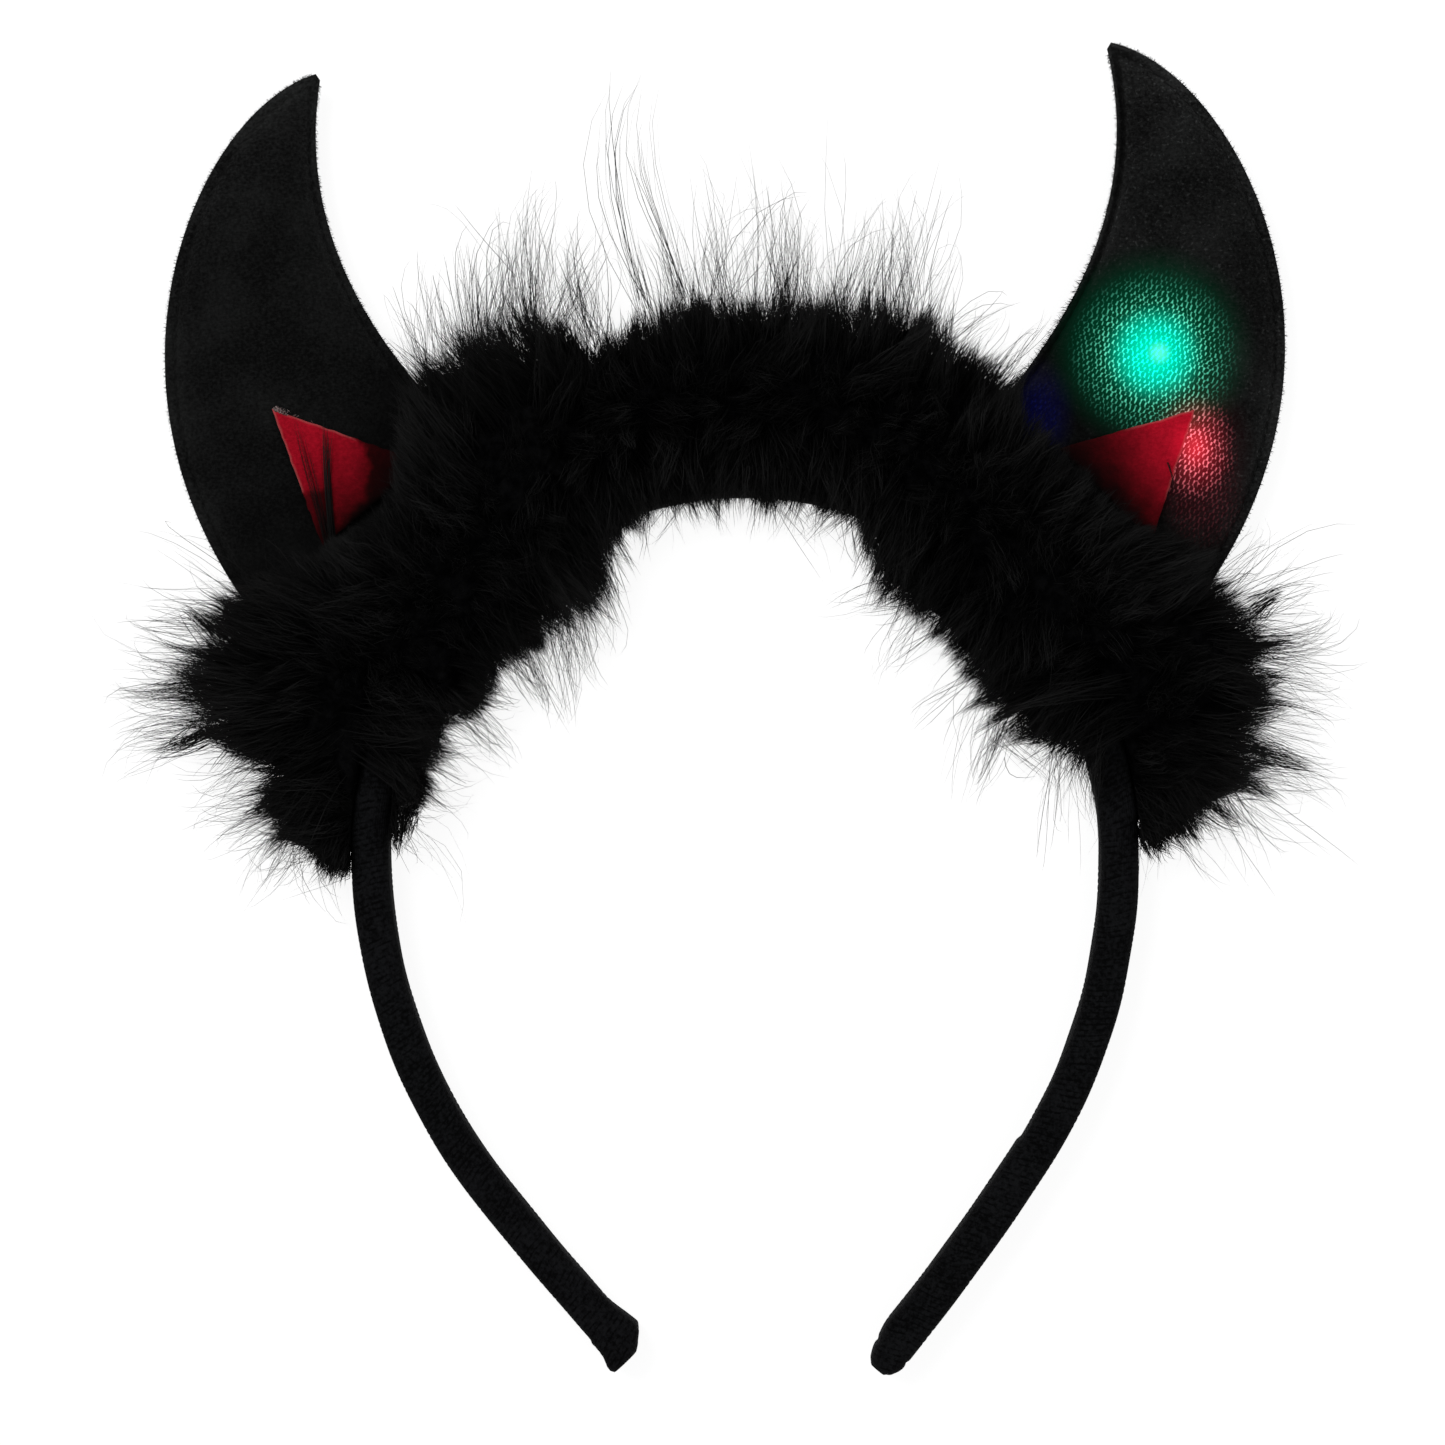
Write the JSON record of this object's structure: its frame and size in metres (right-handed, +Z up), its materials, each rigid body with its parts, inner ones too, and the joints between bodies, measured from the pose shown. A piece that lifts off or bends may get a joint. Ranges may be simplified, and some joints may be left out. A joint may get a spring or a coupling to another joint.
{
  "type": "light-up horns headband",
  "caption": "Costume headband lying flat: a cloth-wrapped open band with padded felt horns, red felt patches, a feather boa over the crown and small lamps inside a horn.",
  "frame": {"origin": "middle of the part's box on the surface that it lies on", "axes": "+X from ear to ear, +Y from the open ends to the horn tips, +Z up from the surface, towards the front of the horns"},
  "size_m": [0.1983, 0.2312, 0.0281],
  "materials": {
    "band_cloth": "black cross-ribbed cloth",
    "horn_felt": "black felt",
    "patch_felt": "red felt",
    "boa_feather": "black marabou down",
    "lamp_green": "clear green lamp",
    "lamp_red": "clear red lamp",
    "lamp_blue": "clear blue lamp"
  },
  "bodies": {
    "root": {"headband": "band_cloth", "left_horn": "horn_felt", "right_horn": "horn_felt", "left_patch": "patch_felt", "right_patch": "patch_felt", "led_green": "lamp_green", "led_red": "lamp_red", "led_blue": "lamp_blue", "feather_boa": "boa_feather"}
  },
  "joints": []
}
